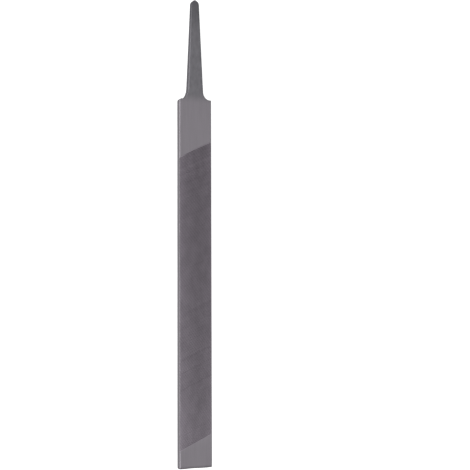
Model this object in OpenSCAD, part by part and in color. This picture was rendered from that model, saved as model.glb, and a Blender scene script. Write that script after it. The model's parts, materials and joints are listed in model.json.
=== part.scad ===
// Flat file, single cut, with a bare tang.
//
// The file lies flat on its lower face. +Y runs from the toe to the tip of the tang,
// +X is to the right seen from above with the tang away from the viewer, and +Z is up.
// The origin is under the middle of the file's whole length, on the surface that it lies on.
// A real file is one forging: the blade and the tang are two solids that meet at the shoulder.

/* [Blade] */
// Length of the blade, from the toe to the shoulder
blade_length = 150; // [100:5:200]
// Width of the blade across its flat faces
blade_width = 14; // [13.8:0.2:20]
// Thickness of the blade
blade_thickness = 3; // [2.4:0.1:5]
// Bevel along the four long edges
edge_bevel = 0.25; // [0.1:0.05:0.4]
// Bevel round the end of the toe
toe_bevel = 0.5; // [0.2:0.1:0.8]
// Radius of the shoulder's left corner, ground rounder than the right
left_shoulder_radius = 1.1; // [0.3:0.1:1.2]
// Radius of the shoulder's right corner
right_shoulder_radius = 0.3; // [0.1:0.1:0.5]

/* [Teeth] */
// Distance from one tooth to the next, along the file
tooth_pitch = 0.55; // [0.4:0.05:1.2]
// Depth of the gullets under the teeth
tooth_depth = 0.2; // [0.1:0.02:0.4]
// Angle between a tooth and a line square across the file
tooth_slant = 25; // [15:1:35]
// Smooth length between the shoulder and the first tooth, on the centre line
heel_land = 20; // [12:1:30]
// Smooth length between the last tooth and the toe, on the centre line
toe_land = 10.3; // [6:0.1:20]

/* [Tang] */
// Length of the tang, from the shoulder to the end of its nib
tang_length = 41.6; // [25:0.1:60]
// Width of the tang's taper where it meets the shoulder, without the fillets
tang_root_width = 7; // [4:0.2:7.2]
// Width of the tang where its round tip starts
tang_tip_width = 3.5; // [2.1:0.1:4.8]
// How far the tang stands to the right of the blade's centre line
tang_offset = 0.17; // [0:0.01:0.4]
// Thickness of the tang at its tip
tang_tip_thickness = 1.8; // [1.2:0.1:3]
// Length of the left fillet along the tang
left_fillet_length = 4.5; // [1:0.1:6]
// Width of the left fillet along the shoulder
left_fillet_width = 2.4; // [0.5:0.1:2.5]
// Length of the right fillet along the tang
right_fillet_length = 3.1; // [1:0.1:6]
// Width of the right fillet along the shoulder
right_fillet_width = 2.7; // [0.5:0.1:3]
// Length of the nib left on the tip where the bar was cropped off
nib_length = 0.2; // [0.1:0.1:1]
// Width of that nib
nib_width = 0.9; // [0.5:0.1:1.5]
// Bevel along the tang's long edges
tang_bevel = 0.45; // [0.1:0.05:0.5]

/* [Hidden] */

toe_y = -(blade_length + tang_length) / 2;
shoulder_y = toe_y + blade_length;
tip_y = shoulder_y + tang_length;

// The crests lie just under the smooth lands, as a cut file's do after its faces are stripped.
crest_drop = 0.02;
// Share of the pitch that the steep cutting face of a tooth takes up.
steep_share = 0.2;
// The pitch square to the teeth, which is how the grooves are spaced.
square_pitch = tooth_pitch * cos(tooth_slant);
tooth_count = floor((blade_length - heel_land - toe_land) / tooth_pitch);
first_crest = (toe_y + toe_land) * cos(tooth_slant);
// Height of the cutting tool above a face, which only has to clear the blade.
tool_height = 1;

// Number of straight steps along the tang's taper, its fillets and its round tip.
taper_steps = 12;
arc_steps = 12;
fillet_steps = 16;
tip_radius = tang_tip_width / 2;
// The round tip is an arc that ends where it meets the side of the nib.
tip_sweep = acos(nib_width / tang_tip_width);
round_tip_y = tip_y - nib_length - tip_radius * sin(tip_sweep);
fillets_end_y = shoulder_y + max(left_fillet_length, right_fillet_length);

// ---- blade ----

// Rectangle with its four corners cut off.
module bevelled_rectangle(size, bevel) {
    a = size.x / 2;
    b = size.y / 2;
    polygon([
        [-a + bevel, -b], [a - bevel, -b], [a, -b + bevel], [a, b - bevel],
        [a - bevel, b], [-a + bevel, b], [-a, b - bevel], [-a, -b + bevel]
    ]);
}

// What is taken off a square corner at the origin to round it. The corner points up and to the right.
module corner_waste(radius) {
    difference() {
        translate([-radius, -radius]) square(2 * radius);
        translate([-radius, -radius]) circle(r = radius, $fn = 48);
        translate([-2 * radius, -2 * radius]) square([2 * radius, radius]);
        translate([-2 * radius, -2 * radius]) square([radius, 2 * radius]);
    }
}

// Outline of the blade seen from above.
module blade_outline() {
    half = blade_width / 2;
    difference() {
        translate([-half, toe_y]) square([blade_width, blade_length]);
        translate([half, shoulder_y]) corner_waste(right_shoulder_radius);
        translate([-half, shoulder_y]) mirror([1, 0]) corner_waste(left_shoulder_radius);
    }
}

// The blade seen from its side, with the toe's bevels.
module side_profile() {
    polygon([
        [toe_y + toe_bevel, 0], [shoulder_y, 0], [shoulder_y, blade_thickness],
        [toe_y + toe_bevel, blade_thickness], [toe_y, blade_thickness - toe_bevel], [toe_y, toe_bevel]
    ]);
}

// The bar before its teeth are cut.
module blank() {
    intersection() {
        linear_extrude(height = blade_thickness) blade_outline();
        rotate([90, 0, 90])
            linear_extrude(height = blade_width + 2, center = true) side_profile();
        translate([0, shoulder_y + 1, blade_thickness / 2])
            rotate([90, 0, 0])
                linear_extrude(height = blade_length + 2)
                    bevelled_rectangle([blade_width, blade_thickness], edge_bevel);
    }
}

// All the grooves of one face, as one tool whose underside is the saw profile of the teeth.
// The steep faces look towards the toe, so that the file cuts as it is pushed. The tool is turned
// about the origin, so it is as long as the blade to reach across both ends of the cut.
module groove_tool() {
    crest = -crest_drop;
    gullet = -crest_drop - tooth_depth;
    last_crest = first_crest + tooth_count * square_pitch;
    saw = [
        for (k = [0 : tooth_count - 1])
            let (s = first_crest + k * square_pitch)
            each [[s, crest], [s + (1 - steep_share) * square_pitch, gullet]]
    ];
    rotate([0, 0, tooth_slant])
        rotate([90, 0, 90])
            linear_extrude(height = blade_length, center = true)
                polygon(concat(
                    [[first_crest, tool_height]], saw,
                    [[last_crest, crest], [last_crest, tool_height]]
                ));
}

module blade() {
    color("dimgray")
        difference() {
            blank();
            translate([0, 0, blade_thickness]) groove_tool();
            // The lower face is the upper one turned over about the file's length.
            rotate([0, 180, 0]) groove_tool();
        }
}

// ---- tang ----

// Half the tang's width along its straight taper.
function taper_half_width(y) =
    let (t = (y - shoulder_y) / (round_tip_y - shoulder_y))
    (tang_root_width + (tang_tip_width - tang_root_width) * t) / 2;

// What a fillet adds to one side of the tang, as a quarter of an ellipse.
function flare(fillet_length, fillet_width, y) =
    let (t = min(1, max(0, 1 - (y - shoulder_y) / fillet_length)))
    fillet_width * (1 - sqrt(1 - t * t));

// Half the tang's thickness, from the blade's at the shoulder to the tip's.
function half_thickness(y) =
    let (t = (y - shoulder_y) / tang_length)
    (blade_thickness + (tang_tip_thickness - blade_thickness) * t) / 2;

// [y, left half width, right half width] from the shoulder to the end of the nib.
function tang_stations() = concat(
    [for (i = [0 : fillet_steps - 1])
        let (
            y = fillets_end_y - (fillets_end_y - shoulder_y) * cos(90 * i / fillet_steps),
            a = taper_half_width(y)
        )
        [y, a + flare(left_fillet_length, left_fillet_width, y),
            a + flare(right_fillet_length, right_fillet_width, y)]],
    [for (i = [0 : taper_steps - 1])
        let (y = fillets_end_y + (round_tip_y - fillets_end_y) * i / taper_steps, a = taper_half_width(y))
        [y, a, a]],
    [for (i = [0 : arc_steps])
        let (angle = tip_sweep * i / arc_steps, a = tip_radius * cos(angle))
        [round_tip_y + tip_radius * sin(angle), a, a]],
    [[tip_y, nib_width / 2, nib_width / 2]]
);

// Ring of eight points round the tang at one station.
function tang_ring(station) =
    let (
        y = station[0], left = tang_offset - station[1], right = tang_offset + station[2],
        b = half_thickness(y),
        c = min(tang_bevel, (right - left) / 4), z = blade_thickness / 2
    )
    [for (p = [
        [left + c, -b], [right - c, -b], [right, -b + c], [right, b - c],
        [right - c, b], [left + c, b], [left, b - c], [left, -b + c]
    ]) [p[0], y, z + p[1]]];

module tang() {
    stations = tang_stations();
    rings = len(stations);
    sides = 8;
    points = [for (s = stations) each tang_ring(s)];
    walls = [
        for (i = [0 : rings - 2], j = [0 : sides - 1])
            let (a = i * sides + j, b = i * sides + (j + 1) % sides)
            [a, a + sides, b + sides, b]
    ];
    root = [for (j = [0 : sides - 1]) j];
    tip = [for (j = [sides - 1 : -1 : 0]) (rings - 1) * sides + j];
    color("slategray")
        polyhedron(points = points, faces = concat([root], walls, [tip]), convexity = 4);
}

blade();
tang();
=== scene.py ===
"""A single-cut flat file with a bare tang, built round its CAD model.

The file lies on its lower face. Its length is along Y, from the toe to the tip of the tang, and
the upper face looks along Z. Each piece is a closed slab between two sheets of points, an upper
and a lower one. A sheet starts flat and is sunk at each point by the rounding near the file's
outline and by the grooves between the teeth.
"""

import json
import math

import bpy
import numpy as np
from mathutils import Matrix, Vector

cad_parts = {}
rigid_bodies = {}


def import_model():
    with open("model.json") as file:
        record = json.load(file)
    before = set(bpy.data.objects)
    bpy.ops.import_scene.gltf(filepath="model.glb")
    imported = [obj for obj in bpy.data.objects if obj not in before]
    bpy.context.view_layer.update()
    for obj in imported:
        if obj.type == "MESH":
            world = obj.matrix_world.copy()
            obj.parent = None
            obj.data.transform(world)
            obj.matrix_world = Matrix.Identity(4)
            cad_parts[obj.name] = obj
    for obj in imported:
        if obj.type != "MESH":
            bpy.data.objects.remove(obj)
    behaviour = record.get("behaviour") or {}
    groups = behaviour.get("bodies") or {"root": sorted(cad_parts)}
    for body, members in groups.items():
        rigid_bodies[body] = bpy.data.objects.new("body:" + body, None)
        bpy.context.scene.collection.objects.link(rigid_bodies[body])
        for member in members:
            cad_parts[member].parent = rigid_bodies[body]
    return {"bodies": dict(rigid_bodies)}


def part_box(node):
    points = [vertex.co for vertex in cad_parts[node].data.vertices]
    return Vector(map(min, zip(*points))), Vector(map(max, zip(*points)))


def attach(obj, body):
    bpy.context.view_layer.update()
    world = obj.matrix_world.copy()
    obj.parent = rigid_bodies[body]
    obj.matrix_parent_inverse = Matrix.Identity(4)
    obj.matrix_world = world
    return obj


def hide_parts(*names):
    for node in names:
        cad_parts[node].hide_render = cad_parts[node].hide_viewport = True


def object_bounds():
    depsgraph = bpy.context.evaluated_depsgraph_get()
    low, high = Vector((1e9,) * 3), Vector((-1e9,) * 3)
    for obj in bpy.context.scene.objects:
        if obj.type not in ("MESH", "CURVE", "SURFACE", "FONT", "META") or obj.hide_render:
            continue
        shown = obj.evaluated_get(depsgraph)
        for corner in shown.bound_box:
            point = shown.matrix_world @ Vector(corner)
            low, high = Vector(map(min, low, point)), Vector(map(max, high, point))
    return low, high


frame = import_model()
cad_low, cad_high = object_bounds()
blade_low, blade_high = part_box("blade")
tang_low, tang_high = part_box("tang")

MM = 0.001

# ---- Sizes, in metres. The large ones come from the CAD model's boxes. ----

TOE_Y, SHOULDER_Y, TIP_Y = blade_low.y, blade_high.y, tang_high.y
HALF_WIDTH = blade_high.x
THICKNESS = blade_high.z

# Rounding where the faces meet the narrow edges, and the corners of the plan.
EDGE_RADIUS = 0.35 * MM
EDGE_UNEVEN = 0.03 * MM
EDGE_WAVE = 25 * MM
SHOULDER_CALM = 5 * MM
TOE_EDGE_RADIUS = 0.6 * MM
TOE_EDGE_REACH = 1.1 * MM
LEFT_SHOULDER_RADIUS = 1.1 * MM
RIGHT_SHOULDER_RADIUS = 0.3 * MM
TOE_CORNER_RADIUS = 0.3 * MM
EDGE_REACH = 0.35 * MM
TOE_UNEVEN = 0.025 * MM
TOE_WAVE = 6 * MM

# Teeth. A tooth's profile runs from its crest over the back to the gullet, then up the steep
# face of the next one. Each point is a share of the pitch and a share of the depth.
TOOTH_PITCH = 0.55 * MM
TOOTH_DEPTH = 0.2 * MM
TOOTH_SLANT = math.tan(math.radians(25))
TOOTH_PROFILE = [(0.0, 0.0), (0.06, 0.04), (0.38, 0.46), (0.72, 0.95), (0.82, 1.0), (0.92, 0.55)]
TOE_LAND = 10.3 * MM
HEEL_LAND = 20.35 * MM
CREST_DROP = 0.02 * MM
LAND_MARGIN = 0.08 * MM
# Towards the heel the cut ends along its last tooth on the right, and falls back from it in a
# parabola on the left.
RUN_OUT_BEND_X = 1.2 * MM
RUN_OUT_FALL_PER_METRE = 12
RUN_OUT_FADE = 0.45 * MM
TOOTH_SHIFT = 0.008 * MM
TOOTH_WAVE = 0.006 * MM
TOOTH_DEPTH_SPREAD = 0.07

# Tang.
TANG_OFFSET = 0.17 * MM
TANG_ROOT_HALF = 3.5 * MM
TANG_TIP_HALF = 1.75 * MM
TANG_TIP_THICKNESS = 1.8 * MM
LEFT_FILLET = 4.5 * MM
RIGHT_FILLET = 3.1 * MM
NIB_LENGTH = 0.2 * MM
NIB_HALF = 0.45 * MM
TANG_RADIUS = 0.5 * MM
TIP_EDGE_RADIUS = 0.4 * MM
NIB_EDGE_RADIUS = 0.12 * MM
TANG_UNEVEN = 0.02 * MM
TANG_WAVE = 5 * MM
TANG_CALM = 6 * MM

TIP_SWEEP = math.acos(NIB_HALF / TANG_TIP_HALF)
ROUND_TIP_Y = TIP_Y - NIB_LENGTH - TANG_TIP_HALF * math.sin(TIP_SWEEP)
FILLETS_END_Y = SHOULDER_Y + max(LEFT_FILLET, RIGHT_FILLET)
LEFT_FLARE = -tang_low.x - TANG_ROOT_HALF + TANG_OFFSET
RIGHT_FLARE = tang_high.x - TANG_ROOT_HALF - TANG_OFFSET

# How finely the sheets are divided.
CORNER_STEPS = 5
SHARP_ANGLE = math.radians(32)
FLAT_COLUMNS = 21
TANG_FLAT_COLUMNS = 5
GAP_COLUMNS = 2
TOE_LAND_ROWS = 3
HEEL_LAND_ROWS = 6
FILLET_ROWS = 18
TIP_ROWS = 14
TAPER_ROWS = 40


# ---- Plan: where the points of a sheet lie seen from above ----

def corner_offsets(radius):
    """Distances from an edge at which its rounding is sampled, from 0 to the radius."""
    return radius * (1 - np.cos(np.linspace(0, math.pi / 2, CORNER_STEPS + 1)))


def waves(x, y, rng, amplitude, length, count=8):
    """Smooth unevenness, as a sum of sine waves in random directions."""
    total = np.zeros(np.broadcast(x, y).shape)
    for _ in range(count):
        heading, phase = rng.uniform(0, 2 * math.pi, 2)
        step = 2 * math.pi / (length * rng.uniform(0.6, 1.7))
        total += np.sin(step * (x * math.cos(heading) + y * math.sin(heading)) + phase)
    return amplitude * total / math.sqrt(count)


def corner_drop(inset, radius):
    """How far a rounded corner of the plan falls back at a distance inset from its side."""
    reach = np.clip(radius - inset, 0, radius)
    return radius - np.sqrt(radius ** 2 - reach ** 2)


def toe_line(x):
    """Y of the toe's end at x: an end left by shearing that isn't quite straight."""
    rough = waves(x, 0 * x, np.random.default_rng(3), TOE_UNEVEN, TOE_WAVE, 4)
    return (TOE_Y + TOE_UNEVEN + rough + corner_drop(x + HALF_WIDTH, TOE_CORNER_RADIUS)
            + corner_drop(HALF_WIDTH - x, TOE_CORNER_RADIUS))


def shoulder_line(x):
    """Y of the shoulder at x, with its left corner ground rounder than its right one."""
    return (SHOULDER_Y - corner_drop(x + HALF_WIDTH, LEFT_SHOULDER_RADIUS)
            - corner_drop(HALF_WIDTH - x, RIGHT_SHOULDER_RADIUS))


def tang_half_width(y, side):
    """Distance from the tang's middle to one side at y: -1 for the left side, 1 for the right."""
    length, flare = (LEFT_FILLET, LEFT_FLARE) if side < 0 else (RIGHT_FILLET, RIGHT_FLARE)
    along = (y - SHOULDER_Y) / (ROUND_TIP_Y - SHOULDER_Y)
    taper = TANG_ROOT_HALF + (TANG_TIP_HALF - TANG_ROOT_HALF) * along
    back = np.clip(1 - (y - SHOULDER_Y) / length, 0, 1)
    fillet = flare * (1 - np.sqrt(1 - back ** 2))
    tip = np.sqrt(np.clip(TANG_TIP_HALF ** 2 - (y - ROUND_TIP_Y) ** 2, 0, None))
    return np.where(y < ROUND_TIP_Y, taper + fillet, np.maximum(tip, NIB_HALF))


def rounding_radius(y):
    """Radius between the faces and the narrow edges along the file."""
    nib_y = TIP_Y - NIB_LENGTH
    places = [SHOULDER_Y, FILLETS_END_Y, ROUND_TIP_Y, nib_y, TIP_Y]
    radii = [EDGE_RADIUS, TANG_RADIUS, TIP_EDGE_RADIUS, TIP_EDGE_RADIUS * 0.7, NIB_EDGE_RADIUS]
    return np.interp(y, places, radii)


def edge_offsets(y, side):
    """corner_offsets for a row of the tang, along the row, which crosses the edge at a slant."""
    probe = 0.02 * MM
    radius = float(rounding_radius(y))
    inside = min(max(y, SHOULDER_Y + probe), TIP_Y - probe)
    after, before = tang_half_width(inside + probe, side), tang_half_width(inside - probe, side)
    slope = (after - before) / (2 * probe)
    stretch = min(math.hypot(1, slope), 3)
    room = 0.8 * float(tang_half_width(y, side)) / radius
    return corner_offsets(radius) * min(stretch, room)


def tang_columns(y):
    """X of the points across the tang at y."""
    left_side = TANG_OFFSET - float(tang_half_width(y, -1)) + edge_offsets(y, -1)
    right_side = TANG_OFFSET + float(tang_half_width(y, 1)) - edge_offsets(y, 1)
    flat = np.linspace(left_side[-1], right_side[-1], TANG_FLAT_COLUMNS + 2)[1:-1]
    return np.concatenate([left_side, flat, right_side[::-1]])


def blade_columns():
    """X of the points across the blade where it is plain or toothed."""
    edge = corner_offsets(EDGE_RADIUS)
    reach = HALF_WIDTH - EDGE_RADIUS
    flat = np.linspace(-reach, reach, FLAT_COLUMNS + 2)[1:-1]
    return np.concatenate([-HALF_WIDTH + edge, flat, HALF_WIDTH - edge[::-1]])


def shoulder_columns():
    """X of the points across the blade at the shoulder, with those of the tang's first row."""
    edge = corner_offsets(EDGE_RADIUS)
    root = tang_columns(SHOULDER_Y)
    left_gap = np.linspace(-HALF_WIDTH + EDGE_RADIUS, root[0], GAP_COLUMNS + 2)[1:-1]
    right_gap = np.linspace(root[-1], HALF_WIDTH - EDGE_RADIUS, GAP_COLUMNS + 2)[1:-1]
    return np.concatenate([-HALF_WIDTH + edge, left_gap, root, right_gap, HALF_WIDTH - edge[::-1]])


def between(first, last, count):
    """Rows spaced evenly between two rows."""
    return [first + (last - first) * k / (count + 1) for k in range(1, count + 1)]


def tooth_rows(x, slant):
    """The rows that run along the teeth, one for each point of each tooth's profile."""
    first_y = TOE_Y + TOE_LAND
    last_y = SHOULDER_Y - HEEL_LAND
    teeth = math.ceil((last_y - first_y) / TOOTH_PITCH)
    shares = [tooth + share for tooth in range(teeth) for share, _ in TOOTH_PROFILE] + [teeth]
    return [np.stack([x, first_y + share * TOOTH_PITCH + slant * x]) for share in shares]


def blade_plan(slant):
    """(X, Y) of one sheet of the blade, in rows from the toe to the shoulder."""
    x, end_x = blade_columns(), shoulder_columns()
    edge = corner_offsets(EDGE_RADIUS)
    toe = [np.stack([x, toe_line(x) + offset]) for offset in corner_offsets(TOE_EDGE_RADIUS)]
    cut = tooth_rows(x, slant)
    heel = [np.stack([end_x, shoulder_line(end_x) - offset]) for offset in edge[::-1]]
    # A row close to each end of the cut keeps the lands beside it flat.
    margin = np.array([[0], [LAND_MARGIN]])
    before, after = cut[0] - margin, cut[-1] + margin
    rows = [*toe, *between(toe[-1], before, TOE_LAND_ROWS), before, *cut,
            after, *between(after, heel[0], HEEL_LAND_ROWS), *heel]
    return np.stack(rows, axis=1)


def tang_plan():
    """(X, Y) of one sheet of the tang, in rows from the shoulder to the end of the nib."""
    turn = np.linspace(0, math.pi / 2, FILLET_ROWS + 1)
    fillet = FILLETS_END_Y - (FILLETS_END_Y - SHOULDER_Y) * np.cos(turn)
    taper = np.linspace(FILLETS_END_Y, ROUND_TIP_Y, TAPER_ROWS + 1)[1:-1]
    tip = ROUND_TIP_Y + TANG_TIP_HALF * np.sin(np.linspace(0, TIP_SWEEP, TIP_ROWS + 1))
    nib = TIP_Y - corner_offsets(NIB_EDGE_RADIUS)[::-1]
    stations = np.concatenate([fillet, taper, tip, nib])
    x = np.stack([tang_columns(y) for y in stations])
    return np.stack([x, np.repeat(stations[:, None], x.shape[1], axis=1)])


def file_outline(blade, tang):
    """The closed outline of the whole file, from the borders of the two plans."""
    end = blade[:, -1]
    root = CORNER_STEPS + 1 + GAP_COLUMNS
    foot = root + tang.shape[2] - 1
    parts = [
        blade[:, 0], blade[:, -1:, -1][:, ::-1], end[:, foot:][:, ::-1],
        tang[:, 1:, -1], tang[:, -1, ::-1][:, 1:], tang[:, ::-1, 0][:, 1:], end[:, :root][:, ::-1],
    ]
    return np.concatenate(parts, axis=1).T


# ---- Depth: how far a sheet lies below its face ----

def distance_to(outline, points):
    """Distance from each point to the nearest of the outline's segments."""
    nearest = np.full(points.shape[1:], np.inf)
    for start, end in zip(outline, np.roll(outline, -1, axis=0)):
        run = end - start
        length = run @ run
        if length == 0:
            continue
        dx, dy = points[0] - start[0], points[1] - start[1]
        share = np.clip((dx * run[0] + dy * run[1]) / length, 0, 1)
        nearest = np.minimum(nearest, np.hypot(dx - share * run[0], dy - share * run[1]))
    return nearest


def rounding(distance, radius):
    """Depth of a quarter-round edge at a distance from the outline."""
    reach = radius - np.minimum(distance, radius)
    return radius - np.sqrt(np.clip(radius ** 2 - reach ** 2, 0, None))


def run_out(x):
    """Where the cut ends towards the heel, as the y at which that tooth crosses the centre line."""
    return SHOULDER_Y - HEEL_LAND - RUN_OUT_FALL_PER_METRE * np.minimum(x - RUN_OUT_BEND_X, 0) ** 2


def cut_teeth(plan, slant, rng):
    """Depth of the grooves, how near each point is to a gullet, and how far it is inside the cut.

    Shifts the rows of the plan a little, tooth by tooth, as a struck chisel does.
    """
    x, y = plan
    crossing = y - slant * x
    along = (crossing - (TOE_Y + TOE_LAND)) / TOOTH_PITCH
    tooth = np.floor(along + 1e-6)
    shares, depths = zip(*TOOTH_PROFILE, (1.0, 0.0))
    gullet = np.interp(along - tooth, shares, depths)
    inside = np.clip((run_out(slant / TOOTH_SLANT * x) - crossing) / RUN_OUT_FADE, 0, 1)
    inside = np.where(along > -1e-6, inside, 0)

    index = np.clip(tooth, 0, None).astype(int)
    count = index.max() + 1
    shift, deeper = rng.normal(0, TOOTH_SHIFT, count), rng.normal(1, TOOTH_DEPTH_SPREAD, count)
    turns, phase = rng.uniform(0.5, 2.5, count), rng.uniform(0, 2 * math.pi, count)
    wave = np.sin(turns[index] * math.pi * x / HALF_WIDTH + phase[index])
    y += (shift[index] + TOOTH_WAVE * wave) * inside
    return inside * (CREST_DROP + TOOTH_DEPTH * gullet * deeper[index]), gullet * inside, inside


# ---- Meshes ----

def slab_faces(rows, columns):
    """Quads of a closed slab whose upper points come first, and then as many lower ones."""
    index = np.arange(rows * columns).reshape(rows, columns)
    a, b, c, d = index[:-1, :-1], index[:-1, 1:], index[1:, 1:], index[1:, :-1]
    upper = np.stack([a, b, c, d], axis=-1).reshape(-1, 4)
    lower = upper[:, ::-1] + rows * columns
    border = np.concatenate([index[0], index[1:, -1], index[-1, -2::-1], index[-2:0:-1, 0]])
    after = np.roll(border, -1)
    below = rows * columns
    wall = np.stack([border + below, after + below, after, border], axis=1)
    return np.concatenate([upper, lower, wall])


def make_slab(name, upper, lower, marks):
    """A closed piece between two sheets of (x, y, z) points.

    marks holds, for its material, values at the points of the two sheets.
    """
    rows, columns = upper.shape[1:]
    points = np.concatenate([upper.reshape(3, -1).T, lower.reshape(3, -1).T])
    mesh = bpy.data.meshes.new(name)
    mesh.from_pydata(points.tolist(), [], slab_faces(rows, columns).tolist())
    for mark, values in marks.items():
        attribute = mesh.attributes.new(mark, "FLOAT", "POINT")
        both = np.concatenate([sheet.ravel() for sheet in values])
        attribute.data.foreach_set("value", both.astype(np.float32))
    mesh.shade_smooth()
    mesh.set_sharp_from_angle(angle=SHARP_ANGLE)
    piece = bpy.data.objects.new(name, mesh)
    bpy.context.scene.collection.objects.link(piece)
    return piece


def edge_closeness(distance):
    """1 at the outline, and fading away from it."""
    return np.exp(-distance / EDGE_REACH)


def blade_sheet(slant, outline, seed):
    """The blade's plan with its depth, and the marks for its material."""
    rng = np.random.default_rng(seed)
    plan = blade_plan(slant)
    distance = distance_to(outline, plan)
    depth, gullet, inside = cut_teeth(plan, slant, rng)
    uneven = waves(0 * plan[0], plan[1], rng, EDGE_UNEVEN, EDGE_WAVE)
    uneven *= np.clip((SHOULDER_Y - plan[1]) / SHOULDER_CALM, 0, 1)
    toe_share = np.clip(1 - (plan[1] - TOE_Y) / TOE_EDGE_REACH, 0, 1)
    radius = EDGE_RADIUS + uneven + (TOE_EDGE_RADIUS - EDGE_RADIUS) * toe_share
    depth = np.maximum(depth, rounding(distance, radius))
    # The narrow edges are ground after the teeth are cut, so the cut's colour stops short of them.
    reach = np.clip(distance / EDGE_RADIUS, 0, 1)
    return plan, depth, {"gullet": gullet, "cut": inside * reach, "edge": edge_closeness(distance)}


def make_blade(outline):
    """The toothed blade, from the toe to the shoulder."""
    upper, upper_depth, upper_marks = blade_sheet(TOOTH_SLANT, outline, seed=11)
    lower, lower_depth, lower_marks = blade_sheet(-TOOTH_SLANT, outline, seed=12)
    marks = {mark: (upper_marks[mark], lower_marks[mark]) for mark in upper_marks}
    top = np.concatenate([upper, THICKNESS - upper_depth[None]])
    bottom = np.concatenate([lower, lower_depth[None]])
    return make_slab("file_blade", top, bottom, marks)


def make_tang(plan, outline):
    """The bare tang, from the shoulder to its tip."""
    x, y = plan
    distance = distance_to(outline, plan)
    along = (y - SHOULDER_Y) / (TIP_Y - SHOULDER_Y)
    half_thickness = (THICKNESS + (TANG_TIP_THICKNESS - THICKNESS) * along) / 2
    fade = np.clip((y - SHOULDER_Y) / TANG_CALM, 0, 1)
    depth = rounding(distance, rounding_radius(y))
    draws = [np.random.default_rng(seed) for seed in (21, 22)]
    bumps = [fade * waves(x, y, rng, TANG_UNEVEN, TANG_WAVE) for rng in draws]
    top = np.stack([x, y, THICKNESS / 2 + half_thickness - depth + bumps[0]])
    bottom = np.stack([x, y, THICKNESS / 2 - half_thickness + depth + bumps[1]])
    edge = edge_closeness(distance)
    return make_slab("file_tang", top, bottom, {"edge": (edge, edge)})


# ---- Materials ----

# Colours of the bare steel, of its polished edges, of the cut's crests and of its gullets, whose dark
# is painted shade, and of the forged tang.
GROUND = (0.50, 0.465, 0.51)
WORN = (0.66, 0.64, 0.67)
CREST = (0.52, 0.471, 0.53)
GULLET_SHADE = (0.23, 0.205, 0.235)
FORGED = (0.37, 0.36, 0.39)

# Feature sizes of the noises along X, Y and Z.
STREAKS = (0.16 * MM, 14 * MM, 0.16 * MM)
PATCHES = (9 * MM, 30 * MM, 9 * MM)
MOTTLE = (1.4 * MM, 2.6 * MM, 1.4 * MM)
SOILING = (2.5 * MM, 6 * MM, 2.5 * MM)

# Stretches of the file, from the low Y to the high one, over which a look changes.
SKIN_SPAN = (SHOULDER_Y - 2.2 * MM, SHOULDER_Y + 3.2 * MM)
# Painted shade darkens the toe's rounded end over the next stretch.
TOE_END_SHADE_SPAN = (TOE_Y + 0.4 * MM, TOE_Y + 1.3 * MM)
BURNT_SPAN = (TIP_Y - 18 * MM, TIP_Y)
TOE_WEAR_SPAN = (TOE_Y + 14 * MM, TOE_Y + 32 * MM)
HEEL_WEAR_SPAN = (SHOULDER_Y - 45 * MM, SHOULDER_Y - 22 * MM)

# How much lighter or darker those stretches are, as factors.
# Painted shade on the toe's rounded end, as a factor.
TOE_END_SHADE_TONE = 0.78
BURNT_TONE = 0.68
END_WEAR_TONE = 1.07

# Painted shade: the cut is darkest at this X and gets lighter towards the edges.
CUT_DARKEST_X = 1.5 * MM
CUT_SHADE_WIDTH = 8.5 * MM
CUT_SHADE_POWER = 1.6
CUT_SHADE_LIFT = 0.34

EDGE_POLISH = 0.25
GROUND_ROUGHNESS = (0.33, 0.41)
FORGED_ROUGHNESS = (0.38, 0.5)
FORGED_EDGE_ROUGHNESS = 0.3
CUT_ROUGHNESS = 0.08
MOTTLE_RELIEF = 3.0
BLADE_RELIEF = 0.004 * MM
TANG_RELIEF = 0.006 * MM


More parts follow.
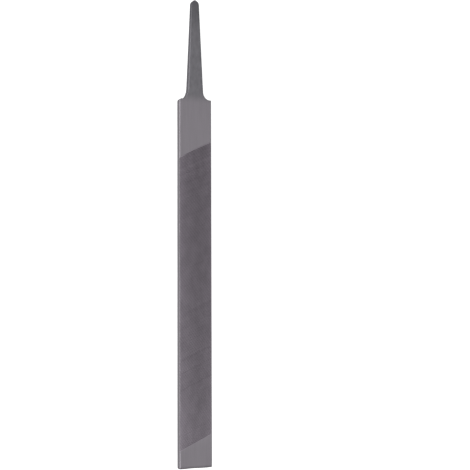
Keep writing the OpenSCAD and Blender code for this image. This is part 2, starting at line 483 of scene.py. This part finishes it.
class Shading:
    """The node tree of a material or a world, with short calls for the nodes used here."""

    def __init__(self, owner):
        owner.use_nodes = True
        self.owner = owner
        self.tree = owner.node_tree

    def node(self, kind, **settings):
        made = self.tree.nodes.new(kind)
        for name, value in settings.items():
            setattr(made, name, value)
        return made

    def plug(self, socket, value):
        """Links a socket to another node's output, or sets it to a value."""
        if isinstance(value, bpy.types.NodeSocket):
            self.tree.links.new(value, socket)
        else:
            socket.default_value = value

    def place(self):
        """Position on the object, in metres."""
        return self.node("ShaderNodeTexCoord").outputs["Object"]

    def part(self, vector, axis):
        """One part of a vector: "X", "Y" or "Z"."""
        split = self.node("ShaderNodeSeparateXYZ")
        self.plug(split.inputs[0], vector)
        return split.outputs[axis]

    def mark(self, name):
        """A value stored at the mesh's points."""
        return self.node("ShaderNodeAttribute", attribute_name=name).outputs["Fac"]

    def math(self, operation, a, b=0.0):
        made = self.node("ShaderNodeMath", operation=operation)
        self.plug(made.inputs[0], a)
        self.plug(made.inputs[1], b)
        return made.outputs[0]

    def ramp(self, value, low, high, to_low=0.0, to_high=1.0):
        """Maps value smoothly from one range to another."""
        made = self.node("ShaderNodeMapRange", interpolation_type="SMOOTHSTEP")
        for socket, setting in zip(made.inputs, (value, low, high, to_low, to_high)):
            self.plug(socket, setting)
        return made.outputs[0]

    def vary(self, noise, low, high, reach=0.2):
        """Maps a noise, which stays within reach of 0.5 nearly everywhere, to low up to high."""
        return self.ramp(noise, 0.5 - reach, 0.5 + reach, low, high)

    def grain(self, size, detail=2.0, seed=0.0):
        """Noise whose features have that size along X, Y and Z, in metres."""
        mapping = self.node("ShaderNodeMapping")
        self.plug(mapping.inputs["Vector"], self.place())
        mapping.inputs["Scale"].default_value = [1 / s for s in size]
        mapping.inputs["Location"].default_value = (seed, seed, seed)
        noise = self.node("ShaderNodeTexNoise")
        self.plug(noise.inputs["Vector"], mapping.outputs[0])
        noise.inputs["Scale"].default_value = 1.0
        noise.inputs["Detail"].default_value = detail
        return noise.outputs[0]

    def mix(self, factor, a, b):
        """Number a where factor is 0 and b where it is 1."""
        made = self.node("ShaderNodeMix", data_type="FLOAT")
        for socket, setting in ((made.inputs[0], factor), (made.inputs[2], a), (made.inputs[3], b)):
            self.plug(socket, setting)
        return made.outputs[0]

    def blend(self, factor, a, b):
        """Colour a where factor is 0 and b where it is 1."""
        made = self.node("ShaderNodeMix", data_type="RGBA")
        self.plug(made.inputs["Factor"], factor)
        self.plug(made.inputs[6], a if isinstance(a, bpy.types.NodeSocket) else (*a, 1))
        self.plug(made.inputs[7], b if isinstance(b, bpy.types.NodeSocket) else (*b, 1))
        return made.outputs[2]

    def scaled(self, colour, factor):
        """A colour times a number."""
        made = self.node("ShaderNodeVectorMath", operation="SCALE")
        self.plug(made.inputs[0], colour)
        self.plug(made.inputs["Scale"], factor)
        return made.outputs[0]

    def metal(self, colour, roughness, height, relief):
        """Sets up the metal. height is the bump, and relief how deep it is in metres."""
        bump = self.node("ShaderNodeBump")
        bump.inputs["Distance"].default_value = relief
        self.plug(bump.inputs["Height"], height)
        shader = self.tree.nodes["Principled BSDF"]
        self.plug(shader.inputs["Base Color"], colour)
        self.plug(shader.inputs["Roughness"], roughness)
        self.plug(shader.inputs["Normal"], bump.outputs[0])
        shader.inputs["Metallic"].default_value = 1.0
        return self.owner


def along(shading):
    """Position along the file."""
    return shading.part(shading.place(), "Y")


def ground_colour(shading, streaks):
    """Steel ground lengthwise, lighter along its handled edges, and darker along the toe's rounded
    end, which is painted shade.
    """
    patches = shading.grain(PATCHES, detail=3)
    tone = shading.math("ADD", shading.vary(streaks, -0.045, 0.045),
                        shading.vary(patches, 0.965, 1.035))
    # Painted shade darkens the toe's rounded end.
    toe_end_shade = shading.ramp(along(shading), *TOE_END_SHADE_SPAN, TOE_END_SHADE_TONE, 1.0)
    wear_and_shade = shading.math("MULTIPLY", shading.mark("edge"), EDGE_POLISH)
    steel = shading.blend(wear_and_shade, GROUND, WORN)
    return shading.scaled(steel, shading.math("MULTIPLY", tone, toe_end_shade))


def forged_colour(shading, mottle):
    """Mottled scale of the forged tang, darkest at its tip."""
    burnt = shading.ramp(along(shading), *BURNT_SPAN, 1.0, BURNT_TONE)
    scale = shading.math("MULTIPLY", shading.vary(mottle, 0.88, 1.12, reach=0.25), burnt)
    return shading.scaled(FORGED, scale)


def forged_roughness(shading, mottle):
    """Dull scale, dullest on the tang's rounded edges, where it scatters the light most."""
    edge = shading.math("MULTIPLY", shading.mark("edge"), FORGED_EDGE_ROUGHNESS)
    return shading.math("ADD", shading.vary(mottle, *FORGED_ROUGHNESS, reach=0.25), edge)


def bare_steel(shading):
    """Ground steel that turns into forged steel across the shoulder.

    Gives the colour, the roughness and the bump's height.
    """
    streaks = shading.grain(STREAKS, detail=3)
    mottle = shading.grain(MOTTLE, detail=6, seed=3.0)
    skin = shading.ramp(along(shading), *SKIN_SPAN)
    colour = shading.blend(skin, ground_colour(shading, streaks), forged_colour(shading, mottle))
    ground_roughness = shading.vary(streaks, *GROUND_ROUGHNESS)
    roughness = shading.mix(skin, ground_roughness, forged_roughness(shading, mottle))
    lumps = shading.math("MULTIPLY", shading.math("MULTIPLY", mottle, skin), MOTTLE_RELIEF)
    return colour, roughness, shading.math("ADD", streaks, lumps)


def cut_side_shade(shading):
    """Painted shade of the cut across the file: 1 where it is darkest, and more towards the edges."""
    beyond = shading.math("SUBTRACT", shading.part(shading.place(), "X"), CUT_DARKEST_X)
    outward = shading.math("ABSOLUTE", shading.math("DIVIDE", beyond, CUT_SHADE_WIDTH))
    wear_and_shade = shading.math("POWER", outward, CUT_SHADE_POWER)
    return shading.math("ADD", shading.math("MULTIPLY", wear_and_shade, CUT_SHADE_LIFT), 1.0)


def cut_colour(shading):
    """The toothed field: painted shade in its gullets and across its middle, bright crests, wear at
    its ends, and soiling.
    """
    # The gullets are darkened with painted shade, deepest down in the grooves.
    cut = shading.blend(shading.mark("gullet"), CREST, GULLET_SHADE)
    soiling = shading.vary(shading.grain(SOILING, detail=4, seed=7.0), 0.94, 1.06)
    toe_wear = shading.ramp(along(shading), *TOE_WEAR_SPAN, END_WEAR_TONE, 1.0)
    heel_wear = shading.ramp(along(shading), *HEEL_WEAR_SPAN, 1.0, END_WEAR_TONE)
    # Soiling, times painted shade that leaves the cut lighter towards its sides.
    tone = shading.math("MULTIPLY", soiling, cut_side_shade(shading))
    end_wear = shading.math("MULTIPLY", toe_wear, heel_wear)
    return shading.scaled(cut, shading.math("MULTIPLY", tone, end_wear))


def file_steel():
    """Hardened, ground blade steel with its toothed fields."""
    shading = Shading(bpy.data.materials.new("file_steel"))
    bare, roughness, height = bare_steel(shading)
    cut = shading.mark("cut")
    colour = shading.blend(cut, bare, cut_colour(shading))
    roughness = shading.math("ADD", roughness, shading.math("MULTIPLY", cut, CUT_ROUGHNESS))
    return shading.metal(colour, roughness, height, BLADE_RELIEF)


def tang_steel():
    """Unhardened steel of the tang, as it left the forge."""
    shading = Shading(bpy.data.materials.new("tang_steel"))
    return shading.metal(*bare_steel(shading), TANG_RELIEF)


# ---- Stage, light and camera ----

FLOOR_REACH = 3.0
FLOOR_GAP = 0.02 * MM
FLOOR_WHITE = (0.9, 0.9, 0.9, 1)
FLOOR_GLOW = 0.85

# Grey of the sky at heights from the nadir, 0, over the horizon, 0.5, to the zenith, 1.
SKY_GREYS = [(0.0, 0.42), (0.25, 0.30), (0.5, 0.2), (0.78, 0.28), (1.0, 0.465)]
# Below the horizon the sky darkens towards the right, over this range of X.
SKY_DARKENS = (-0.3, 0.1)
SKY_RIGHT_SHARE = 0.65

SOFTBOX_PLACE = (-0.55, 0.0, 0.38)
SOFTBOX_SIZE = (1.0, 0.6)
SOFTBOX_WATTS = 2.6

CAMERA_DISTANCE = 432.5 * MM
CAMERA_TURN = math.radians(23.17)
CAMERA_TIP = math.radians(3.8)
CAMERA_ROLL = math.radians(-0.235)
CAMERA_LENS = 80.72
CAMERA_SENSOR = 36
# The file stands left of the middle of the view, so the camera looks at a point beside it.
LOOK_RIGHT, LOOK_UP = 17.2 * MM, -1.59 * MM


def floor_white():
    """White that lights up evenly, so that only a trace of shadow shows."""
    material = bpy.data.materials.new("floor_white")
    shader = Shading(material).tree.nodes["Principled BSDF"]
    shader.inputs["Base Color"].default_value = FLOOR_WHITE
    shader.inputs["Roughness"].default_value = 1.0
    shader.inputs["Specular IOR Level"].default_value = 0.0
    shader.inputs["Emission Color"].default_value = (1, 1, 1, 1)
    shader.inputs["Emission Strength"].default_value = FLOOR_GLOW
    return material


def add_floor():
    """A plain white floor."""
    mesh = bpy.data.meshes.new("floor")
    reach = FLOOR_REACH
    corners = [(-reach, -reach, 0), (reach, -reach, 0), (reach, reach, 0), (-reach, reach, 0)]
    mesh.from_pydata(corners, [], [(0, 1, 2, 3)])
    floor = bpy.data.objects.new("floor", mesh)
    bpy.context.scene.collection.objects.link(floor)
    floor.location.z = cad_low.z - FLOOR_GAP
    mesh.materials.append(floor_white())
    # The steel mirrors the studio's grey sky below the floor, not the floor's glare.
    floor.visible_glossy = False


def sky_grey(shading, height):
    """The sky's grey at a height, the Z of its direction."""
    shade = shading.node("ShaderNodeValToRGB")
    for place, _ in SKY_GREYS[1:-1]:
        shade.color_ramp.elements.new(place)
    for element, (place, level) in zip(shade.color_ramp.elements, SKY_GREYS):
        element.position = place
        element.color = (level, level, level, 1)
    rising = shading.node("ShaderNodeMapRange")
    rising.inputs["From Min"].default_value = -1
    shading.plug(rising.inputs["Value"], height)
    shading.plug(shade.inputs[0], rising.outputs[0])
    return shade.outputs[0]


def add_sky():
    """A grey studio sky that the camera sees as plain white."""
    world = bpy.data.worlds.new("studio")
    bpy.context.scene.world = world
    shading = Shading(world)
    direction = shading.node("ShaderNodeTexCoord").outputs["Generated"]
    height = shading.part(direction, "Z")
    right = shading.ramp(shading.part(direction, "X"), *SKY_DARKENS, 1.0, SKY_RIGHT_SHARE)
    above = shading.math("GREATER_THAN", height, 0.0)
    sky = shading.scaled(sky_grey(shading, height), shading.math("MAXIMUM", right, above))
    looked_at = shading.node("ShaderNodeLightPath").outputs["Is Camera Ray"]
    seen = shading.blend(looked_at, sky, (1, 1, 1))
    shading.plug(shading.tree.nodes["Background"].inputs["Color"], seen)


def add_softbox():
    """A rectangular soft light on the left that looks at the middle of the file."""
    light = bpy.data.lights.new("left_softbox", "AREA")
    light.shape = "RECTANGLE"
    light.size, light.size_y = SOFTBOX_SIZE
    light.energy = SOFTBOX_WATTS
    lamp = bpy.data.objects.new("left_softbox", light)
    lamp.location = SOFTBOX_PLACE
    lamp.rotation_euler = (-Vector(SOFTBOX_PLACE)).to_track_quat("-Z", "Y").to_euler()
    bpy.context.scene.collection.objects.link(lamp)


def add_camera():
    """Looks down at the upper face, turned towards the left edge, with the tang at the top."""
    turn = (Matrix.Rotation(-CAMERA_TURN, 3, "Y") @ Matrix.Rotation(CAMERA_TIP, 3, "X")
            @ Matrix.Rotation(CAMERA_ROLL, 3, "Z"))
    data = bpy.data.cameras.new("camera")
    data.lens = CAMERA_LENS
    data.sensor_width = CAMERA_SENSOR
    data.clip_start, data.clip_end = 0.01, 20
    camera = bpy.data.objects.new("camera", data)
    camera.location = turn @ Vector((LOOK_RIGHT, LOOK_UP, CAMERA_DISTANCE))
    camera.rotation_euler = turn.to_euler()
    bpy.context.scene.collection.objects.link(camera)
    bpy.context.scene.camera = camera


def build():
    """Makes both pieces, gives each its steel, parents it to the file's body and hides the CAD node
    that it replaces.
    """
    blade, tang = blade_plan(TOOTH_SLANT), tang_plan()
    outline = file_outline(blade, tang)
    pieces = [
        (make_blade(outline), "blade", "blade_steel", file_steel()),
        (make_tang(tang, outline), "tang", "tang_steel", tang_steel()),
    ]
    for piece, node, slot, steel in pieces:
        piece.data.materials.append(steel)
        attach(piece, list(frame["bodies"])[0])
        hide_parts(node)


build()
add_floor()
add_sky()
add_softbox()
add_camera()
bpy.context.scene.view_settings.view_transform = "Standard"
